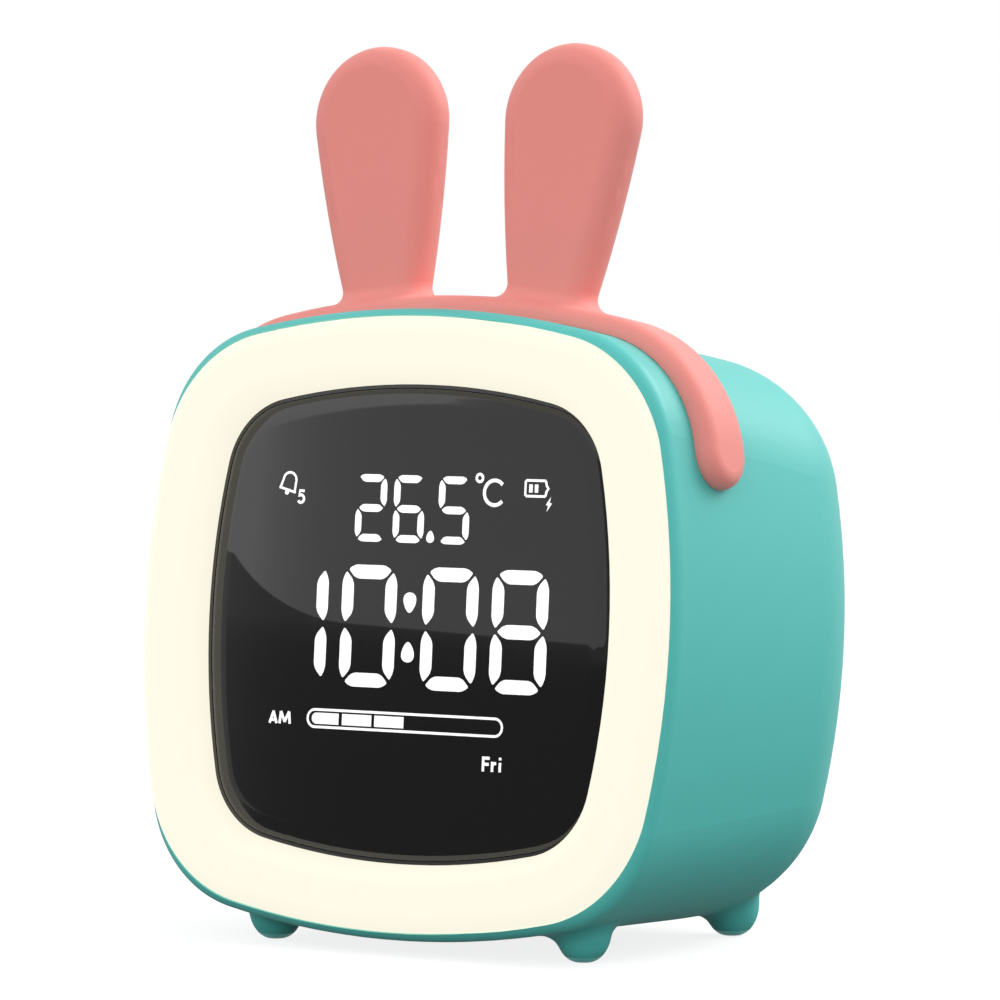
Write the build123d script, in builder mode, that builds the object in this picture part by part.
from build123d import *
from math import cos, degrees, radians, sin, sqrt, tan
import os

# Bedside alarm clock with a night light, millimetres.
# A squircle housing leans back on four nub feet. A glowing ring surrounds a dark display
# window, and a soft saddle with two long ears is buttoned over the top.
# Z is up, the front faces -Y, and the origin is on the floor under the middle of the clock.
# Most pieces are drawn in the leaning frame of the face: across x, height h above the
# middle of the face, and depth d behind the front edge of the shell.

os.makedirs("parts", exist_ok=True)

# ---------------------------------------------------------------- driving dimensions
LEAN = 4.55                 # the face leans back by this angle
SIDE_TURN = 12.0            # half angle of each long side arc of a squircle
QUARTER_TURN = 90.0

SHELL_HALF_WIDTH = 53.4     # shell outline at its front edge
SHELL_HALF_HEIGHT = 52.5
SHELL_CORNER = 21.0
BACK_HALF_WIDTH = 52.8      # shell outline at its back plane, before the rounding
BACK_HALF_HEIGHT = 49.15
BACK_CORNER = 27.5
SHELL_DEPTH = 73.0
BACK_ROUND = 24.5
LIP_ROUND = 3.0
WALL = 2.2
BELLY_CLEARANCE = 1.0       # lowest point of the belly above the floor

LIP_SIDE = 1.1              # shell edge that shows beside the light ring
LIP_TOP = 1.5               # and above and below it
RING_CORNER = 22.8
RING_SIDE = 11.45           # width of the light ring at the sides
RING_TOP = 11.2             # and at the top and bottom
RING_PROUD = 1.8
RING_SEAT = 5.0             # depth of the shelf that the ring rests on
RING_OUTER_ROUND = 2.9
RING_INNER_ROUND = 3.9
RING_ROOF = 2.1
RING_OUTER_SKIRT = 1.8
RING_INNER_SKIRT = 1.6
RING_GAP = 0.15

WINDOW_CORNER = 14.0
LENS_SETBACK = 2.2          # front of the window behind the shell's front edge
LENS_THICKNESS = 1.5
LENS_BEVEL = 0.5
LENS_GAP = 0.05             # between the window and its seal
SEAL_WIDTH = 0.6            # black seal that keeps the ring's light out of the display
SEAL_GAP = 0.05             # between the seal and the light ring
SEAL_DROP = 0.7             # top of the seal behind the window's front
FILM_THICKNESS = 0.5

REFLECTOR_WIDTH = 60.0
REFLECTOR_HEIGHT = 56.0
REFLECTOR_DEPTH = 8.0
REFLECTOR_GAP = 0.2
BIG_DIGIT = (9.0, 17.9)     # between the middles of opposite segments
BIG_DIGIT_X = (-22.1, -8.1, 8.1, 22.1)
BIG_DIGIT_H = -0.55
BIG_SEGMENT = 2.2
SMALL_DIGIT = (4.8, 10.0)
SMALL_DIGIT_X = (-8.45, -0.85, 8.2)
SMALL_DIGIT_H = 19.05
SMALL_SEGMENT = 1.4
BAR_WIDTH = 38.0
BAR_HEIGHT = 3.4
BAR_H = -16.35
ICON_SPOTS = ((-25.0, 22.6), (15.5, 22.6), (24.4, 22.6), (-25.0, -16.6), (18.0, -22.6))
ICON_WIDTH = 4.6
ICON_HEIGHT = 3.4

BOARD_THICKNESS = 1.6
DISPLAY_BOARD_WIDTH = 69.0
DISPLAY_BOARD_HEIGHT = 60.0
DISPLAY_SCREW_X = 32.3
DISPLAY_SCREW_H = 18.0
LED_SIZE = (1.6, 0.8, 0.6)

CHASSIS_GAP = 0.25
CHASSIS_RIM = 1.5
CHASSIS_PLATE = 2.0
CHASSIS_DEPTH = 12.2        # back face of the chassis plate
BOSS_RADIUS = 3.6
RING_BOARD_THICKNESS = 1.2
RING_BOARD_GAP = 0.3
RING_LED_COUNT = 24
RING_LED = (3.5, 2.8, 1.0)

WELL_INSET_X = 16.8         # screw wells, measured in from the back outline
WELL_INSET_H = 14.65
WELL_RADIUS = 3.3
WELL_WALL = 1.6
WELL_DEPTH = 15.0           # from the back down to where the screw heads bear
WELL_FLOOR = 2.0
SCREW_RADIUS = 1.5
SCREW_HEAD_RADIUS = 2.8
SCREW_HEAD = 2.0
SCREW_LENGTH = 14.0
SCREW_GAP = 0.25
THREAD_GAP = 0.03

BAND_DEPTH = 15.6           # middle of the saddle strap behind the shell's front edge
BAND_WIDTH = 12.2
BAND_PROUD = 3.25
BAND_ROUND = 2.6
BAND_END = 23.9             # height of the strap's ends above the middle of the face
BAND_GAP = 0.05
EAR_TIP_RADIUS = 12.75
EAR_TIP_X = 19.35
EAR_TIP_RISE = 32.3         # tip circle's middle above the shell's top edge
EAR_SPLAY = 5.3
EAR_DEPTH = 16.8            # middle plane of the ears behind the shell's front edge
EAR_THICKNESS = 8.0
EAR_ROUND = 3.7
EAR_ROOT = 2.4
EAR_TUCK = 6.0              # the side arcs start this angle below the tip circle's middle
EAR_SIDE_RADIUS = 236.0
PEG_X = 16.6
PEG_RADIUS = 2.5
PEG_GAP = 0.15
PEG_HEAD_RADIUS = 3.2
PEG_HEAD = 2.0
PEG_SLACK = 0.9             # between the wall and the peg's head

FOOT_X = 31.0
FOOT_FRONT = 8.6            # behind the middle of the face, along the floor
FOOT_BACK_INSET = 17.8      # in front of the middle of the back, along the floor
FOOT_RADIUS = 4.7
FOOT_PAD = 0.9
FOOT_CURVE = 5.6
FOOT_HEIGHT = 14.0
FOOT_ROOT = 3.4

BUTTON_X = (-21.0, -7.0, 7.0, 21.0)
BUTTON_NAMES = ("alarm", "up", "down", "mode")
BUTTON_H = 17.5
BUTTON_RADIUS = 4.2
BUTTON_GAP = 0.25
BUTTON_PROUD = 0.9
BUTTON_EDGE = 0.4
BUTTON_FLANGE_RADIUS = 5.3
BUTTON_FLANGE = 1.0
BUTTON_FLANGE_GAP = 0.2
BUTTON_STEM_RADIUS = 1.6
BUTTON_TRAVEL = 0.6
SWITCH_SIZE = 6.0
SWITCH_HEIGHT = 3.5
PLUNGER_RADIUS = 1.7
PLUNGER_PROUD = 0.8
PLUNGER_DEEP = 0.8
PLUNGER_GAP = 0.1

BOARD_STANDOFF = 8.2        # between the main board and the inside of the back wall
MAIN_BOARD_WIDTH = 56.0
MAIN_BOARD_LOW = 5.2
MAIN_BOARD_HIGH = 27.2
BOARD_CORNER = 1.5
BOARD_POST_INSET = 2.6       # posts, measured in from the board's edges
BOARD_POST_RADIUS = 2.6
SMALL_SCREW_RADIUS = 1.0
SMALL_HEAD_RADIUS = 1.8
SMALL_HEAD = 1.2
SMALL_SCREW_LENGTH = 5.0
CHIPS = (((-10, 11), (7, 7)), ((22.4, 16), (4, 4)), ((-20, 12.5), (5, 3.2)), ((-1.5, 12), (3.2, 1.5)))
CHIP_THICKNESS = 0.9

USB_X = 10.0
USB_H = 8.2
USB_WIDTH = 8.9
USB_HEIGHT = 3.2
USB_GAP = 0.3
USB_WALL = 0.4
USB_TONGUE = 0.7
USB_SETBACK = 0.6
USB_MOUTH = 6.0
VENT_X = -10.0
VENT_WIDTH = 7.0
VENT_SLOT = 1.1
VENT_PITCH = 2.2
SENSOR_RADIUS = 1.2
SENSOR_HEIGHT = 3.0

SPEAKER_H = -11.0
SPEAKER_RADIUS = 14.0
SPEAKER_GAP = 0.3
SPEAKER_RIB = 1.4
SPEAKER_RIB_HEIGHT = 6.0
SPEAKER_DEPTH = 8.5
SPEAKER_RIM = 1.8
RIM_THICKNESS = 1.8
MAGNET_RADIUS = 9.0
MAGNET_THICKNESS = 3.6
BASKET_WALL = 1.0
CONE_RIM = 1.2
CONE_RECESS = 0.9
CONE_DROP = 1.8
CONE_PAPER = 0.4
CONE_GAP = 0.05
CAP_RADIUS = 3.4
CAP_HEIGHT = 0.9
GASKET_WIDTH = 2.5
GASKET = 1.0
GRILLE_HOLE = 0.9
GRILLE_PITCH = 3.4          # between rings of holes, and nearly between the holes of a ring
GRILLE_RING_COUNT = 3
GRILLE_RAYS = 6             # holes in the first ring, and more in each further one

BATTERY_WIDTH = 50.0
BATTERY_HEIGHT = 34.0
BATTERY_THICKNESS = 8.0
BATTERY_H = -4.0
BATTERY_ROUND = 2.0
PAD_THICKNESS = 1.0
PAD_MARGIN = 3.0

TOUCH_WIDTH = 20.0
TOUCH_LENGTH = 16.0
TOUCH_THICKNESS = 0.3
TOUCH_GAP = 0.05
TOUCH_SETBACK = 2.0
TOUCH_CORNER = 2.0
TOUCH_SAG = 0.6

LEAD_RADIUS = 0.8
BEND_SHARE = 0.45
PLUG_SIZE = (4.6, 4.0, 5.0)
PLUG_BEVEL = 0.4
RIBBON_WIDTH = 12.0
RIBBON_THICKNESS = 0.5
RIBBON_X = -12.0
RIBBON_H = 26.4
RIBBON_FLAP = 8.0
RIBBON_BEND = 3.5
BATTERY_LEAD_X = 14.0
BATTERY_LOOP = ((0.0, 8.0, 0.0), (0.8, 12.5, 7.7))
BATTERY_DROP = ((-1.0, 9.5, -7.0),)
BATTERY_PLUG = (17.0, 12.0)
SPEAKER_LEAD_X = 6.0
SPEAKER_LEAD_RISE = 1.0
SPEAKER_LOOP = ((0.0, 0.0, -12.3), (0.0, 8.5, -17.8))
SPEAKER_PLUG = (6.0, 7.6)
RING_LOOP = ((0.0, 0.0, 11.0), (1.5, -4.6, 22.0))
RING_DROP = ((-1.0, 10.0, -6.0),)
RING_PLUG_X = 4.0
TOUCH_LEAD_X = 6.0
TOUCH_LOOP = ((0.0, -9.0, 0.0), (2.0, -19.0, 7.0))
TOUCH_PLUG_X = 11.0
TOP_PLUG_INSET = 5.2         # middles of the upper plugs below the board's top edge
PLUG_RUN = 9.0               # straight run of a lead into its plug

# ---------------------------------------------------------------- derived sizes
lean = radians(LEAN)
ring_half_width = SHELL_HALF_WIDTH - LIP_SIDE
ring_half_height = SHELL_HALF_HEIGHT - LIP_TOP
window_half_width = ring_half_width - RING_SIDE
window_half_height = ring_half_height - RING_TOP
lens_back = LENS_SETBACK + LENS_THICKNESS
film_back = lens_back + FILM_THICKNESS
reflector_back = film_back + REFLECTOR_DEPTH
display_board_back = reflector_back + BOARD_THICKNESS
back_wall = SHELL_DEPTH - WALL
board_back = back_wall - BOARD_STANDOFF
board_front = board_back - BOARD_THICKNESS
well_seat = SHELL_DEPTH - WELL_DEPTH
well_x = BACK_HALF_WIDTH - WELL_INSET_X
well_h = BACK_HALF_HEIGHT - WELL_INSET_H
rounding_start = SHELL_DEPTH - BACK_ROUND
ring_board_back = CHASSIS_DEPTH - CHASSIS_PLATE
ring_board_front = ring_board_back - RING_BOARD_THICKNESS


def hull_size(depth, inset=0.0):
    """Half width, half height and corner radius of the shell at a depth."""
    share = depth / SHELL_DEPTH
    half_width = SHELL_HALF_WIDTH + (BACK_HALF_WIDTH - SHELL_HALF_WIDTH) * share
    half_height = SHELL_HALF_HEIGHT + (BACK_HALF_HEIGHT - SHELL_HALF_HEIGHT) * share
    corner = SHELL_CORNER + (BACK_CORNER - SHELL_CORNER) * share
    return half_width - inset, half_height - inset, corner - inset


# The leaning frame: the middle of the face is placed so that the footprint is centred on
# the origin and the belly just clears the floor.
belly_front = hull_size(0)[1] * cos(lean)
belly_rear = hull_size(rounding_start)[1] * cos(lean) + rounding_start * sin(lean)
face_z = BELLY_CLEARANCE + max(belly_front, belly_rear)
ring_flat_low = ring_half_height - RING_OUTER_ROUND
front_reach = RING_PROUD * cos(lean) + ring_flat_low * sin(lean)
back_flat = BACK_HALF_HEIGHT - BACK_ROUND
button_top = BUTTON_H + BUTTON_RADIUS - BUTTON_EDGE
back_reach = max(
    SHELL_DEPTH * cos(lean) + back_flat * sin(lean),
    (SHELL_DEPTH + BUTTON_PROUD) * cos(lean) + button_top * sin(lean),
)
face_y = (front_reach - back_reach) / 2
forward = Vector(0, -cos(lean), sin(lean))
upward = Vector(0, sin(lean), cos(lean))
FACE = Plane(origin=(0, face_y, face_z), x_dir=(1, 0, 0), z_dir=forward)
SIDE = Plane(origin=(0, face_y, face_z), x_dir=-forward, z_dir=(1, 0, 0))
TOP = Plane(origin=(0, face_y, face_z), x_dir=(1, 0, 0), z_dir=upward)


def at_depth(depth):
    """Plane parallel to the face, facing forward: local x is across, local y is height."""
    return FACE.offset(-depth)


def point(across, height, depth):
    """World point from the leaning frame."""
    return FACE.from_local_coords(Vector(across, height, -depth))


def arc_reach(half_width, half_height, corner):
    """How much larger than the corner radius the side arcs and the top arcs are."""
    turn = radians(SIDE_TURN)
    lift = 1 - cos(turn)
    reach = sin(turn)
    flat_x = half_width - corner
    flat_y = half_height - corner
    scale = lift**2 - reach**2
    to_side = (lift * flat_x - reach * flat_y) / scale
    to_top = (lift * flat_y - reach * flat_x) / scale
    return to_side, to_top


def squircle(half_width, half_height, corner, mode=Mode.ADD):
    """Face outline of eight tangent arcs: four long side arcs and four corner arcs."""
    turn = radians(SIDE_TURN)
    to_side, to_top = arc_reach(half_width, half_height, corner)
    side_x = half_width - corner - to_side
    top_y = half_height - corner - to_top
    corner_x = side_x + to_side * cos(turn)
    corner_y = to_side * sin(turn)
    long_turn = 2 * SIDE_TURN
    short_turn = 90 - 2 * SIDE_TURN
    with BuildLine() as outline:
        CenterArc((side_x, 0), to_side + corner, -SIDE_TURN, long_turn)
        CenterArc((corner_x, corner_y), corner, SIDE_TURN, short_turn)
        CenterArc((0, top_y), to_top + corner, 90 - SIDE_TURN, long_turn)
        CenterArc((-corner_x, corner_y), corner, 90 + SIDE_TURN, short_turn)
        CenterArc((-side_x, 0), to_side + corner, 180 - SIDE_TURN, long_turn)
        CenterArc((-corner_x, -corner_y), corner, 180 + SIDE_TURN, short_turn)
        CenterArc((0, -top_y), to_top + corner, 270 - SIDE_TURN, long_turn)
        CenterArc((corner_x, -corner_y), corner, 270 + SIDE_TURN, short_turn)
    make_face(outline.edges(), mode=mode)


def window_outline(grow, mode=Mode.ADD):
    squircle(window_half_width + grow, window_half_height + grow, WINDOW_CORNER + grow, mode)


def ring_outline(grow, mode=Mode.ADD):
    squircle(ring_half_width + grow, ring_half_height + grow, RING_CORNER + grow, mode)


def hull(inset, back_depth, back_round, front_round):
    """The rounded body form, pulled in by an inset: used for the shell and its cavity."""
    with BuildPart() as form:
        for depth in (0, back_depth):
            with BuildSketch(at_depth(depth)):
                squircle(*hull_size(depth, inset))
        loft(ruled=True)
        along = Axis(FACE.origin, FACE.z_dir)
        fillet(form.faces().sort_by(along)[0].edges(), back_round)
        if front_round > 0:
            fillet(form.faces().sort_by(along)[-1].edges(), front_round)
    return form.part


def finish(piece, name):
    """Label a piece and write it out."""
    piece.part.label = name
    export_step(piece.part, f"parts/{name}.step")


# ---------------------------------------------------------------- housing
# The cavity carries the forms that stay standing inside the shell: the screw wells, the
# board posts and the rib round the speaker are left out of it.
well_spots = [(x, h) for x in (-well_x, well_x) for h in (-well_h, well_h)]
post_x = MAIN_BOARD_WIDTH / 2 - BOARD_POST_INSET
post_rows = (MAIN_BOARD_LOW + BOARD_POST_INSET, MAIN_BOARD_HIGH - BOARD_POST_INSET)
post_spots = [(x, h) for x in (-post_x, post_x) for h in post_rows]
cavity_form = hull(WALL, back_wall, BACK_ROUND - WALL, 0)
with BuildPart() as cavity:
    add(cavity_form)
    with BuildSketch(at_depth(well_seat - WELL_FLOOR)):
        with Locations(*well_spots):
            Circle(WELL_RADIUS + WELL_WALL)
    extrude(amount=-SHELL_DEPTH, mode=Mode.SUBTRACT)
    with BuildSketch(at_depth(board_back)):
        with Locations(*post_spots):
            Circle(BOARD_POST_RADIUS)
    extrude(amount=-SHELL_DEPTH, mode=Mode.SUBTRACT)
    with BuildSketch(at_depth(back_wall - SPEAKER_RIB_HEIGHT)):
        with Locations((0, SPEAKER_H)):
            Circle(SPEAKER_RADIUS + SPEAKER_GAP + SPEAKER_RIB)
            Circle(SPEAKER_RADIUS + SPEAKER_GAP, mode=Mode.SUBTRACT)
    extrude(amount=-SHELL_DEPTH, mode=Mode.SUBTRACT)

# One nub foot: a small flat pad, then a round side that runs up into the belly.
with BuildPart() as foot:
    with BuildSketch(Plane.XZ):
        with BuildLine():
            Line((0, 0), (FOOT_PAD, 0))
            EllipticalCenterArc(
                (FOOT_PAD, FOOT_CURVE),
                FOOT_RADIUS - FOOT_PAD,
                FOOT_CURVE,
                start_angle=270,
                arc_size=QUARTER_TURN,
            )
            Line((FOOT_RADIUS, FOOT_CURVE), (FOOT_RADIUS, FOOT_HEIGHT))
            Line((FOOT_RADIUS, FOOT_HEIGHT), (0, FOOT_HEIGHT))
            Line((0, FOOT_HEIGHT), (0, 0))
        make_face()
    revolve(axis=Axis.Z)

foot_rows = (face_y + FOOT_FRONT, face_y + SHELL_DEPTH * cos(lean) - FOOT_BACK_INSET)
foot_spots = [(x, y) for x in (-FOOT_X, FOOT_X) for y in foot_rows]
hull_form = hull(0, SHELL_DEPTH, BACK_ROUND, LIP_ROUND)
with BuildPart() as body_shell:
    add(hull_form)
    with Locations(*[(x, y, 0) for x, y in foot_spots]):
        add(foot.part)
    below = body_shell.edges().filter_by_position(Axis.Z, FOOT_PAD, FOOT_HEIGHT - 1)
    roots = [
        edge
        for edge in below
        if any(
            abs((edge @ 0.5 - Vector(x, y, (edge @ 0.5).Z)).length - FOOT_RADIUS) < 0.3
            for x, y in foot_spots
        )
    ]
    roots = [edge for edge in roots if edge.bounding_box().size.Z > 0.05]
    fillet(roots, FOOT_ROOT)
    add(cavity.part, mode=Mode.SUBTRACT)
    with BuildSketch(at_depth(-RING_PROUD)):
        ring_outline(RING_GAP)
    extrude(amount=-(RING_SEAT + RING_PROUD), mode=Mode.SUBTRACT)
    with BuildSketch(at_depth(well_seat)):
        with Locations(*well_spots):
            Circle(WELL_RADIUS)
    extrude(amount=-SHELL_DEPTH, mode=Mode.SUBTRACT)
    with BuildSketch(at_depth(well_seat - WELL_FLOOR)):
        with Locations(*well_spots):
            Circle(SCREW_RADIUS + SCREW_GAP)
    extrude(amount=-WELL_FLOOR, mode=Mode.SUBTRACT)
    with BuildSketch(at_depth(board_back)):
        with Locations(*post_spots):
            Circle(SMALL_SCREW_RADIUS + THREAD_GAP)
    extrude(amount=-SMALL_SCREW_LENGTH, mode=Mode.SUBTRACT)
    with BuildSketch(at_depth(back_wall)):
        with Locations(*[(x, BUTTON_H) for x in BUTTON_X]):
            Circle(BUTTON_RADIUS + BUTTON_GAP)
        with Locations((USB_X, USB_H)):
            SlotOverall(USB_WIDTH + 2 * USB_GAP, USB_HEIGHT + 2 * USB_GAP)
        with Locations((VENT_X, USB_H)):
            with GridLocations(0, VENT_PITCH, 1, 3):
                SlotOverall(VENT_WIDTH, VENT_SLOT)
        with Locations((0, SPEAKER_H)):
            Circle(GRILLE_HOLE)
            for ring in range(1, GRILLE_RING_COUNT + 1):
                with PolarLocations(ring * GRILLE_PITCH, ring * GRILLE_RAYS):
                    Circle(GRILLE_HOLE)
    extrude(amount=-2 * WALL, mode=Mode.SUBTRACT)
    with BuildSketch(TOP.offset(SHELL_HALF_HEIGHT / 2)):
        with Locations((-PEG_X, BAND_DEPTH), (PEG_X, BAND_DEPTH)):
            Circle(PEG_RADIUS + PEG_GAP)
    extrude(amount=SHELL_HALF_HEIGHT, mode=Mode.SUBTRACT)
finish(body_shell, "body_shell")

# ---------------------------------------------------------------- light ring and window
with BuildPart() as light_ring:
    with BuildSketch(at_depth(-RING_PROUD)):
        ring_outline(0)
    extrude(amount=-(RING_PROUD + RING_SEAT))
    along_face = Axis(FACE.origin, FACE.z_dir)
    fillet(light_ring.faces().sort_by(along_face)[-1].edges(), RING_OUTER_ROUND)
    with BuildSketch(at_depth(-RING_PROUD)):
        window_outline(0)
    extrude(amount=-(RING_PROUD + RING_SEAT), mode=Mode.SUBTRACT)
    front_face = light_ring.faces().filter_by(FACE).sort_by(along_face)[-1]
    fillet(front_face.inner_wires().edges(), RING_INNER_ROUND)
    with BuildSketch(at_depth(RING_ROOF - RING_PROUD)):
        ring_outline(-RING_OUTER_SKIRT)
        window_outline(RING_INNER_SKIRT, Mode.SUBTRACT)
    extrude(amount=-SHELL_DEPTH, mode=Mode.SUBTRACT)
    with BuildSketch(at_depth(film_back)):
        window_outline(RING_INNER_SKIRT)
    extrude(amount=-SHELL_DEPTH, mode=Mode.SUBTRACT)
finish(light_ring, "light_ring")

with BuildPart() as window_seal:
    with BuildSketch(at_depth(LENS_SETBACK + SEAL_DROP)):
        window_outline(-SEAL_GAP)
        window_outline(-SEAL_GAP - SEAL_WIDTH, Mode.SUBTRACT)
    extrude(amount=-(film_back - LENS_SETBACK - SEAL_DROP))
finish(window_seal, "window_seal")

lens_inset = SEAL_GAP + SEAL_WIDTH + LENS_GAP
with BuildPart() as window_lens:
    with BuildSketch(at_depth(LENS_SETBACK)):
        window_outline(-lens_inset)
    extrude(amount=-LENS_THICKNESS)
    chamfer(window_lens.faces().sort_by(along_face)[-1].edges(), LENS_BEVEL)
finish(window_lens, "window_lens")

with BuildPart() as display_film:
    with BuildSketch(at_depth(lens_back)):
        window_outline(-lens_inset)
    extrude(amount=-FILM_THICKNESS)
finish(display_film, "display_film")


# ---------------------------------------------------------------- display light box
def segment_spots(centres, middle, size):
    """Places of the upright and the level segments of a row of seven-segment digits."""
    width, height = size
    upright = []
    level = []
    for centre in centres:
        for side in (-1, 1):
            for half in (-1, 1):
                upright.append((centre + side * width / 2, middle + half * height / 4))
        for row in (-1, 0, 1):
            level.append((centre, middle + row * height / 2))
    return upright, level


big_upright, big_level = segment_spots(BIG_DIGIT_X, BIG_DIGIT_H, BIG_DIGIT)
small_upright, small_level = segment_spots(SMALL_DIGIT_X, SMALL_DIGIT_H, SMALL_DIGIT)
colon_spots = [(0, BIG_DIGIT_H - BIG_DIGIT[1] / 4), (0, BIG_DIGIT_H + BIG_DIGIT[1] / 4)]

with BuildPart() as display_reflector:
    with BuildSketch(at_depth(film_back)):
        RectangleRounded(REFLECTOR_WIDTH, REFLECTOR_HEIGHT, 2)
    extrude(amount=-REFLECTOR_DEPTH)
    with BuildSketch(at_depth(film_back)):
        with Locations(*big_upright):
            Rectangle(BIG_SEGMENT, BIG_DIGIT[1] / 2 - BIG_SEGMENT)
        with Locations(*big_level):
            Rectangle(BIG_DIGIT[0] - BIG_SEGMENT - 1, BIG_SEGMENT)
        with Locations(*small_upright):
            Rectangle(SMALL_SEGMENT, SMALL_DIGIT[1] / 2 - SMALL_SEGMENT)
        with Locations(*small_level):
            Rectangle(SMALL_DIGIT[0] - SMALL_SEGMENT - 0.8, SMALL_SEGMENT)
        with Locations(*colon_spots):
            Rectangle(BIG_SEGMENT, BIG_SEGMENT)
        with Locations((0, BAR_H)):
            Rectangle(BAR_WIDTH, BAR_HEIGHT)
        with Locations(*ICON_SPOTS):
            Rectangle(ICON_WIDTH, ICON_HEIGHT)
    extrude(amount=-REFLECTOR_DEPTH, mode=Mode.SUBTRACT)
finish(display_reflector, "display_reflector")

display_screw_spots = [
    (x, h) for x in (-DISPLAY_SCREW_X, DISPLAY_SCREW_X) for h in (-DISPLAY_SCREW_H, DISPLAY_SCREW_H)
]
with BuildPart() as display_board:
    with BuildSketch(at_depth(reflector_back)):
        RectangleRounded(DISPLAY_BOARD_WIDTH, DISPLAY_BOARD_HEIGHT, 2)
        with Locations(*display_screw_spots):
            Circle(SMALL_SCREW_RADIUS + SCREW_GAP, mode=Mode.SUBTRACT)
    extrude(amount=-BOARD_THICKNESS)
finish(display_board, "display_board")

led_length, led_width, led_height = LED_SIZE
with BuildPart() as display_leds:
    with BuildSketch(at_depth(reflector_back)):
        with Locations(*(big_upright + small_upright)):
            Rectangle(led_width, led_length)
        with Locations(*(big_level + small_level + colon_spots + list(ICON_SPOTS))):
            Rectangle(led_length, led_width)
        with Locations((0, BAR_H)):
            with GridLocations(BAR_WIDTH / 6, 0, 6, 1):
                Rectangle(led_length, led_width)
    extrude(amount=led_height)
finish(display_leds, "display_leds")

with BuildPart() as display_screws:
    with BuildSketch(at_depth(display_board_back)):
        with Locations(*display_screw_spots):
            Circle(SMALL_SCREW_RADIUS)
    extrude(amount=SMALL_SCREW_LENGTH)
    with BuildSketch(at_depth(display_board_back)):
        with Locations(*display_screw_spots):
            Circle(SMALL_HEAD_RADIUS)
    extrude(amount=-SMALL_HEAD)
finish(display_screws, "display_screws")

# ---------------------------------------------------------------- chassis and night light
chassis_width, chassis_height, chassis_corner = hull_size(CHASSIS_DEPTH, WALL + CHASSIS_GAP)


def chassis_outline(grow):
    squircle(chassis_width + grow, chassis_height + grow, chassis_corner + grow)


ring_lead_h = (chassis_height - CHASSIS_RIM + window_half_height + RING_INNER_SKIRT) / 2
with BuildPart() as chassis:
    with BuildSketch(at_depth(RING_SEAT)):
        chassis_outline(0)
    extrude(amount=-(CHASSIS_DEPTH - RING_SEAT))
    with BuildSketch(at_depth(RING_SEAT)):
        chassis_outline(-CHASSIS_RIM)
    extrude(amount=-(ring_board_back - RING_SEAT), mode=Mode.SUBTRACT)
    with BuildSketch(at_depth(film_back)):
        window_outline(RING_INNER_SKIRT)
    extrude(amount=-(CHASSIS_DEPTH - film_back))
    with BuildSketch(at_depth(film_back)):
        RectangleRounded(
            REFLECTOR_WIDTH + 2 * REFLECTOR_GAP, REFLECTOR_HEIGHT + 2 * REFLECTOR_GAP, 2
        )
    extrude(amount=-REFLECTOR_DEPTH - CHASSIS_PLATE, mode=Mode.SUBTRACT)
    with BuildSketch(at_depth(CHASSIS_DEPTH)):
        with Locations(*display_screw_spots):
            Circle(SMALL_SCREW_RADIUS + THREAD_GAP)
    extrude(amount=SMALL_SCREW_LENGTH - BOARD_THICKNESS, mode=Mode.SUBTRACT)
    with BuildSketch(at_depth(CHASSIS_DEPTH)):
        with Locations((0, ring_lead_h)):
            Circle(LEAD_RADIUS + SCREW_GAP)
    extrude(amount=CHASSIS_PLATE, mode=Mode.SUBTRACT)
    with BuildSketch(at_depth(CHASSIS_DEPTH)):
        with Locations(*well_spots):
            Circle(BOSS_RADIUS)
    extrude(amount=-(well_seat - WELL_FLOOR - CHASSIS_DEPTH))
    with BuildSketch(at_depth(well_seat - WELL_FLOOR)):
        with Locations(*well_spots):
            Circle(SCREW_RADIUS + THREAD_GAP)
    extrude(amount=SCREW_LENGTH, mode=Mode.SUBTRACT)
finish(chassis, "chassis")

with BuildPart() as ring_led_board:
    with BuildSketch(at_depth(ring_board_front)):
        chassis_outline(-CHASSIS_RIM - RING_BOARD_GAP)
        window_outline(RING_INNER_SKIRT + RING_BOARD_GAP, Mode.SUBTRACT)
    extrude(amount=-RING_BOARD_THICKNESS)
finish(ring_led_board, "ring_led_board")

ring_led_length, ring_led_width, ring_led_height = RING_LED
with BuildSketch() as led_track:
    squircle(
        (chassis_width - CHASSIS_RIM + window_half_width + RING_INNER_SKIRT) / 2,
        ring_lead_h,
        (chassis_corner + WINDOW_CORNER) / 2,
    )
track = led_track.face().outer_wire()
with BuildPart() as ring_leds:
    with BuildSketch(at_depth(ring_board_front)):
        for index in range(RING_LED_COUNT):
            spot = track @ (index / RING_LED_COUNT)
            way = track % (index / RING_LED_COUNT)
            angle = Vector(1, 0, 0).get_signed_angle(way, Vector(0, 0, 1))
            with Locations((spot.X, spot.Y)):
                Rectangle(ring_led_length, ring_led_width, rotation=angle)
    extrude(amount=ring_led_height)
finish(ring_leds, "ring_leds")

# ---------------------------------------------------------------- saddle with two ears
def shell_top(across, depth, inset=0.0):
    """Height of the shell's top surface above the middle of the face."""
    half_width, half_height, corner = hull_size(depth, inset)
    side_reach, top_reach = arc_reach(half_width, half_height, corner)
    radius = top_reach + corner
    return half_height - radius + sqrt(radius**2 - across**2)


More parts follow.
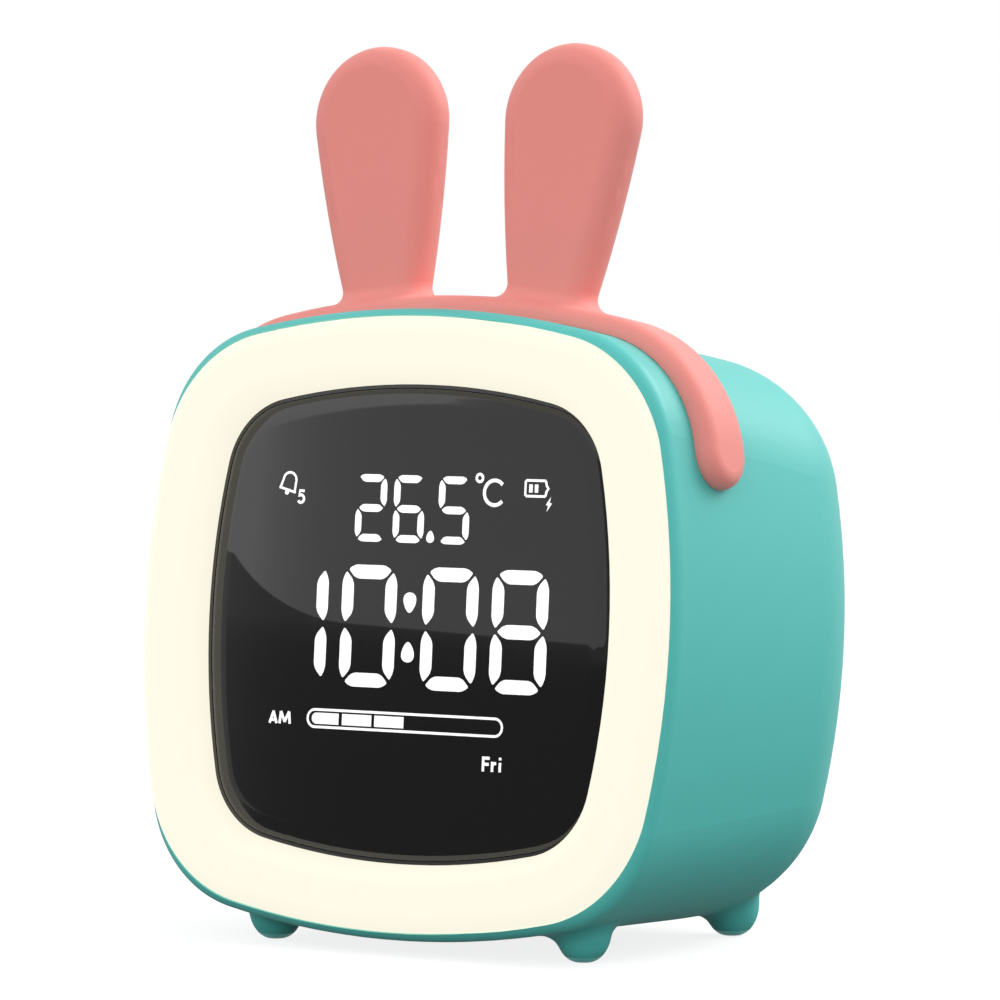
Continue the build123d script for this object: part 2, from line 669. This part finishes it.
splay = radians(EAR_SPLAY)
tuck = radians(EAR_TUCK)
ear_x_dir = Vector(1, 0, 0) * cos(splay) - upward * sin(splay)
ear_tip = point(EAR_TIP_X, SHELL_HALF_HEIGHT + EAR_TIP_RISE, EAR_DEPTH)
EAR_PLANE = Plane(origin=ear_tip, x_dir=ear_x_dir, z_dir=forward)
cheek_x = EAR_TIP_RADIUS * cos(tuck)
cheek_y = -EAR_TIP_RADIUS * sin(tuck)
ear_length = EAR_TIP_RISE + WALL
side_turn = degrees(ear_length / EAR_SIDE_RADIUS)
with BuildPart() as ear:
    with BuildSketch(EAR_PLANE):
        with BuildLine():
            CenterArc((0, 0), EAR_TIP_RADIUS, -EAR_TUCK, 180 + 2 * EAR_TUCK)
            right = JernArc(
                (cheek_x, cheek_y), (-sin(tuck), -cos(tuck)), EAR_SIDE_RADIUS, -side_turn
            )
            left = JernArc(
                (-cheek_x, cheek_y), (sin(tuck), -cos(tuck)), EAR_SIDE_RADIUS, side_turn
            )
            Line(right @ 1, left @ 1)
        make_face()
    extrude(amount=EAR_THICKNESS / 2, both=True)
    outline = ear.faces().filter_by(EAR_PLANE).edges()
    fillet(outline.filter_by(GeomType.LINE, reverse=True), EAR_ROUND)

band_end = BAND_END + BAND_WIDTH / 2
band_top = SHELL_HALF_HEIGHT + 2 * BAND_PROUD
peg_spots = [(-PEG_X, BAND_DEPTH), (PEG_X, BAND_DEPTH)]
peg_root = shell_top(PEG_X, BAND_DEPTH, -BAND_PROUD / 2)
peg_head = shell_top(PEG_X, BAND_DEPTH, WALL) - PEG_SLACK
with BuildPart() as ear_band:
    for depth in (0, rounding_start):
        with BuildSketch(at_depth(depth)):
            squircle(*hull_size(depth, -BAND_PROUD))
    loft(ruled=True)
    with BuildSketch(SIDE):
        with Locations((BAND_DEPTH, band_end)):
            Circle(BAND_WIDTH / 2)
        with Locations((BAND_DEPTH, (band_end + band_top) / 2)):
            Rectangle(BAND_WIDTH, band_top - band_end)
    extrude(amount=2 * SHELL_HALF_WIDTH, both=True, mode=Mode.INTERSECT)
    fillet(ear_band.edges().filter_by(GeomType.LINE, reverse=True), BAND_ROUND)
    strap = ear_band.part
    other_ear = mirror(ear.part, about=Plane.YZ, mode=Mode.PRIVATE)
    add(ear.part)
    add(other_ear)
    fillet(new_edges(strap, ear.part, other_ear, combined=ear_band.part), EAR_ROOT)
    add(hull(-BAND_GAP, SHELL_DEPTH + BAND_GAP, BACK_ROUND + BAND_GAP, 0), mode=Mode.SUBTRACT)
    with BuildSketch(TOP.offset(peg_root)):
        with Locations(*peg_spots):
            Circle(PEG_RADIUS)
    extrude(amount=peg_head - peg_root)
    with BuildSketch(TOP.offset(peg_head)):
        with Locations(*peg_spots):
            Circle(PEG_HEAD_RADIUS)
    extrude(amount=-PEG_HEAD)
finish(ear_band, "ear_band")

# ---------------------------------------------------------------- back buttons
plunger_top = board_back + SWITCH_HEIGHT + PLUNGER_PROUD
flange_back = back_wall - BUTTON_FLANGE_GAP
button_spots = [(x, BUTTON_H) for x in BUTTON_X]
for button_name, button_x in zip(BUTTON_NAMES, BUTTON_X):
    with BuildPart() as button:
        with BuildSketch(at_depth(plunger_top)):
            with Locations((button_x, BUTTON_H)):
                Circle(BUTTON_STEM_RADIUS)
        extrude(amount=plunger_top - flange_back)
        with BuildSketch(at_depth(flange_back - BUTTON_FLANGE)):
            with Locations((button_x, BUTTON_H)):
                Circle(BUTTON_FLANGE_RADIUS)
        extrude(amount=-BUTTON_FLANGE)
        with BuildSketch(at_depth(flange_back)):
            with Locations((button_x, BUTTON_H)):
                Circle(BUTTON_RADIUS)
        extrude(amount=-(WALL + BUTTON_FLANGE_GAP + BUTTON_PROUD))
        fillet(button.faces().sort_by(along_face)[0].edges(), BUTTON_EDGE)
    finish(button, f"{button_name}_button")

    with BuildPart() as plunger:
        with BuildSketch(at_depth(plunger_top)):
            with Locations((button_x, BUTTON_H)):
                Circle(PLUNGER_RADIUS)
        extrude(amount=PLUNGER_PROUD + PLUNGER_DEEP)
    finish(plunger, f"{button_name}_plunger")

with BuildPart() as switch_bodies:
    with BuildSketch(at_depth(board_back)):
        with Locations(*button_spots):
            Rectangle(SWITCH_SIZE, SWITCH_SIZE)
    extrude(amount=-SWITCH_HEIGHT)
    with BuildSketch(at_depth(board_back + SWITCH_HEIGHT)):
        with Locations(*button_spots):
            Circle(PLUNGER_RADIUS + PLUNGER_GAP)
    extrude(amount=PLUNGER_DEEP + BUTTON_TRAVEL + PLUNGER_GAP, mode=Mode.SUBTRACT)
finish(switch_bodies, "switch_bodies")

# ---------------------------------------------------------------- main board
board_middle = (MAIN_BOARD_LOW + MAIN_BOARD_HIGH) / 2
with BuildPart() as main_board:
    with BuildSketch(at_depth(board_front)):
        with Locations((0, board_middle)):
            RectangleRounded(MAIN_BOARD_WIDTH, MAIN_BOARD_HIGH - MAIN_BOARD_LOW, BOARD_CORNER)
        with Locations(*post_spots):
            Circle(SMALL_SCREW_RADIUS + SCREW_GAP, mode=Mode.SUBTRACT)
    extrude(amount=-BOARD_THICKNESS)
finish(main_board, "main_board")

with BuildPart() as board_screws:
    with BuildSketch(at_depth(board_front)):
        with Locations(*post_spots):
            Circle(SMALL_SCREW_RADIUS)
    extrude(amount=-SMALL_SCREW_LENGTH)
    with BuildSketch(at_depth(board_front)):
        with Locations(*post_spots):
            Circle(SMALL_HEAD_RADIUS)
    extrude(amount=SMALL_HEAD)
finish(board_screws, "board_screws")

with BuildPart() as board_chips:
    with BuildSketch(at_depth(board_front)):
        for (across, height), (width, tall) in CHIPS:
            with Locations((across, height)):
                Rectangle(width, tall)
    extrude(amount=CHIP_THICKNESS)
finish(board_chips, "board_chips")

with BuildPart() as usb_socket:
    with BuildSketch(at_depth(board_back)):
        with Locations((USB_X, USB_H)):
            SlotOverall(USB_WIDTH, USB_HEIGHT)
    extrude(amount=-(SHELL_DEPTH - USB_SETBACK - board_back))
    with BuildSketch(at_depth(SHELL_DEPTH - USB_SETBACK)):
        with Locations((USB_X, USB_H)):
            SlotOverall(USB_WIDTH - 2 * USB_WALL, USB_HEIGHT - 2 * USB_WALL)
            Rectangle(USB_WIDTH - USB_HEIGHT, USB_TONGUE, mode=Mode.SUBTRACT)
    extrude(amount=USB_MOUTH, mode=Mode.SUBTRACT)
finish(usb_socket, "usb_socket")

with BuildPart() as temperature_sensor:
    with BuildSketch(at_depth(board_back)):
        with Locations((VENT_X, USB_H)):
            Circle(SENSOR_RADIUS)
    extrude(amount=-SENSOR_HEIGHT)
    fillet(temperature_sensor.faces().sort_by(along_face)[0].edges(), SENSOR_RADIUS / 2)
finish(temperature_sensor, "temperature_sensor")

# ---------------------------------------------------------------- loudspeaker
SPEAKER = Plane(origin=point(0, SPEAKER_H, 0), x_dir=(1, 0, 0), z_dir=upward)
speaker_axis = Axis(SPEAKER.origin, forward)
speaker_back = back_wall - GASKET
speaker_front = speaker_back - SPEAKER_DEPTH
magnet_back = speaker_front + MAGNET_THICKNESS
rim_inner = SPEAKER_RADIUS - SPEAKER_RIM
cone_seat = speaker_back - CONE_RECESS
with BuildPart() as speaker_gasket:
    with BuildSketch(at_depth(speaker_back)):
        with Locations((0, SPEAKER_H)):
            Circle(SPEAKER_RADIUS)
            Circle(SPEAKER_RADIUS - GASKET_WIDTH, mode=Mode.SUBTRACT)
    extrude(amount=-GASKET)
finish(speaker_gasket, "speaker_gasket")

with BuildPart() as speaker_frame:
    with BuildSketch(SPEAKER):
        with BuildLine():
            Polyline(
                (0, speaker_front),
                (MAGNET_RADIUS, speaker_front),
                (MAGNET_RADIUS, magnet_back),
                (rim_inner, speaker_back - RIM_THICKNESS),
                (SPEAKER_RADIUS, speaker_back - RIM_THICKNESS),
                (SPEAKER_RADIUS, speaker_back),
                (rim_inner, speaker_back),
                (rim_inner, cone_seat),
                (rim_inner - CONE_RIM, cone_seat),
                (MAGNET_RADIUS - BASKET_WALL, magnet_back + BASKET_WALL),
                (0, magnet_back + BASKET_WALL),
                close=True,
            )
        make_face()
    revolve(axis=speaker_axis)
finish(speaker_frame, "speaker_frame")

with BuildPart() as speaker_cone:
    with BuildSketch(SPEAKER):
        with BuildLine():
            Polyline(
                (0, cone_seat - CONE_DROP + CONE_PAPER),
                (CAP_RADIUS, cone_seat - CONE_DROP + CONE_PAPER),
                (rim_inner - CONE_RIM, cone_seat + CONE_PAPER),
                (rim_inner - CONE_GAP, cone_seat + CONE_PAPER),
                (rim_inner - CONE_GAP, cone_seat),
                (rim_inner - CONE_RIM, cone_seat),
                (CAP_RADIUS, cone_seat - CONE_DROP),
                (0, cone_seat - CONE_DROP),
                close=True,
            )
        make_face()
    revolve(axis=speaker_axis)
    with BuildSketch(at_depth(cone_seat - CONE_DROP + CONE_PAPER)):
        with Locations((0, SPEAKER_H)):
            Circle(CAP_RADIUS)
    extrude(amount=-CAP_HEIGHT)
    fillet(
        speaker_cone.edges().filter_by(GeomType.CIRCLE).filter_by(
            lambda edge: abs(edge.radius - CAP_RADIUS) < 0.01
        ).sort_by(along_face)[0],
        CAP_HEIGHT * 0.8,
    )
finish(speaker_cone, "speaker_cone")

# ---------------------------------------------------------------- battery and touch plate
with BuildPart() as battery_pad:
    with BuildSketch(at_depth(display_board_back)):
        with Locations((0, BATTERY_H)):
            Rectangle(BATTERY_WIDTH - 2 * PAD_MARGIN, BATTERY_HEIGHT - 2 * PAD_MARGIN)
    extrude(amount=-PAD_THICKNESS)
finish(battery_pad, "battery_pad")

battery_front = display_board_back + PAD_THICKNESS
with BuildPart() as battery_cell:
    with BuildSketch(at_depth(battery_front)):
        with Locations((0, BATTERY_H)):
            Rectangle(BATTERY_WIDTH, BATTERY_HEIGHT)
    extrude(amount=-BATTERY_THICKNESS)
    fillet(battery_cell.edges().filter_by(Axis(FACE.origin, FACE.z_dir)), BATTERY_ROUND)
finish(battery_cell, "battery_cell")

touch_inset = WALL + TOUCH_GAP
touch_start = BAND_DEPTH + BAND_WIDTH / 2 + TOUCH_SETBACK
with BuildPart() as touch_plate:
    for depth in (0, rounding_start):
        with BuildSketch(at_depth(depth)):
            squircle(*hull_size(depth, touch_inset))
    loft(ruled=True)
    with BuildPart(mode=Mode.PRIVATE) as touch_core:
        for depth in (0, rounding_start):
            with BuildSketch(at_depth(depth)):
                squircle(*hull_size(depth, touch_inset + TOUCH_THICKNESS))
        loft(ruled=True)
    add(touch_core.part, mode=Mode.SUBTRACT)
    with BuildSketch(TOP):
        with Locations((0, touch_start + TOUCH_LENGTH / 2)):
            RectangleRounded(TOUCH_WIDTH, TOUCH_LENGTH, TOUCH_CORNER)
    extrude(amount=SHELL_HALF_HEIGHT + WALL, mode=Mode.INTERSECT)
finish(touch_plate, "touch_plate")

# ---------------------------------------------------------------- case screws
with BuildPart() as case_screws:
    with BuildSketch(at_depth(well_seat)):
        with Locations(*well_spots):
            Circle(SCREW_RADIUS)
    extrude(amount=SCREW_LENGTH)
    with BuildSketch(at_depth(well_seat)):
        with Locations(*well_spots):
            Circle(SCREW_HEAD_RADIUS)
    extrude(amount=-SCREW_HEAD)
finish(case_screws, "case_screws")

# ---------------------------------------------------------------- leads and ribbon
plug_width, plug_height, plug_length = PLUG_SIZE
plug_front = board_front - plug_length
touch_inner = shell_top(0, touch_start, touch_inset + TOUCH_THICKNESS) - TOUCH_SAG
touch_middle = touch_start + TOUCH_LENGTH / 2
battery_top = BATTERY_H + BATTERY_HEIGHT / 2
battery_middle = battery_front + BATTERY_THICKNESS / 2

top_plug_h = MAIN_BOARD_HIGH - TOP_PLUG_INSET


def shifted(corner, step):
    return tuple(place + move for place, move in zip(corner, step))


def lead_route(start, loop, drop, plug):
    """Corners of a lead as (across, height, depth): its start, a loop, and its plug's run."""
    entry = (*plug, plug_front - PLUG_RUN)
    corners = [start]
    corners += [shifted(start, step) for step in loop]
    corners += [shifted(entry, step) for step in drop]
    return [*corners, entry, (*plug, plug_front)]


battery_exit = (BATTERY_LEAD_X, battery_top, battery_middle)
speaker_exit = (SPEAKER_LEAD_X, SPEAKER_H + SPEAKER_LEAD_RISE, speaker_front)
ring_exit = (0, ring_lead_h, ring_board_back)
touch_exit = (TOUCH_LEAD_X, touch_inner, touch_middle)
ROUTES = {
    "battery_lead": lead_route(battery_exit, BATTERY_LOOP, BATTERY_DROP, BATTERY_PLUG),
    "speaker_lead": lead_route(speaker_exit, SPEAKER_LOOP, (), SPEAKER_PLUG),
    "ring_lead": lead_route(ring_exit, RING_LOOP, RING_DROP, (RING_PLUG_X, top_plug_h)),
    "touch_lead": lead_route(touch_exit, TOUCH_LOOP, (), (TOUCH_PLUG_X, top_plug_h)),
}

plug_spots = []
for lead_name, corners in ROUTES.items():
    stops = [point(*corner) for corner in corners]
    runs = [after - before for before, after in zip(stops, stops[1:])]
    bends = []
    for before, after in zip(runs, runs[1:]):
        half_turn = radians(before.get_angle(after)) / 2
        bends.append(BEND_SHARE * min(before.length, after.length) / tan(half_turn))
    print(lead_name, "bend radii", [round(bend, 1) for bend in bends])
    with BuildPart() as lead:
        with BuildLine() as route:
            FilletPolyline(*stops, radius=bends)
        with BuildSketch(Plane(origin=stops[0], z_dir=runs[0])):
            Circle(LEAD_RADIUS)
        sweep(path=route.wire())
    finish(lead, lead_name)
    plug_spots.append(corners[-1][:2])

with BuildPart() as lead_plugs:
    with BuildSketch(at_depth(plug_front)):
        with Locations(*plug_spots):
            Rectangle(plug_width, plug_height)
    extrude(amount=-plug_length)
    chamfer(lead_plugs.faces().sort_by(along_face)[-4:].edges(), PLUG_BEVEL)
finish(lead_plugs, "lead_plugs")

ribbon_front = display_board_back + RIBBON_THICKNESS / 2
ribbon_back = board_front - RIBBON_THICKNESS / 2
with BuildPart() as display_ribbon:
    with BuildSketch(SIDE.offset(RIBBON_X)):
        with BuildLine() as ribbon_path:
            FilletPolyline(
                (ribbon_front, RIBBON_H - RIBBON_FLAP),
                (ribbon_front, RIBBON_H),
                (ribbon_back, RIBBON_H),
                (ribbon_back, RIBBON_H - RIBBON_FLAP),
                radius=RIBBON_BEND,
            )
            offset(amount=RIBBON_THICKNESS / 2, side=Side.BOTH)
        make_face()
    extrude(amount=RIBBON_WIDTH / 2, both=True)
finish(display_ribbon, "display_ribbon")
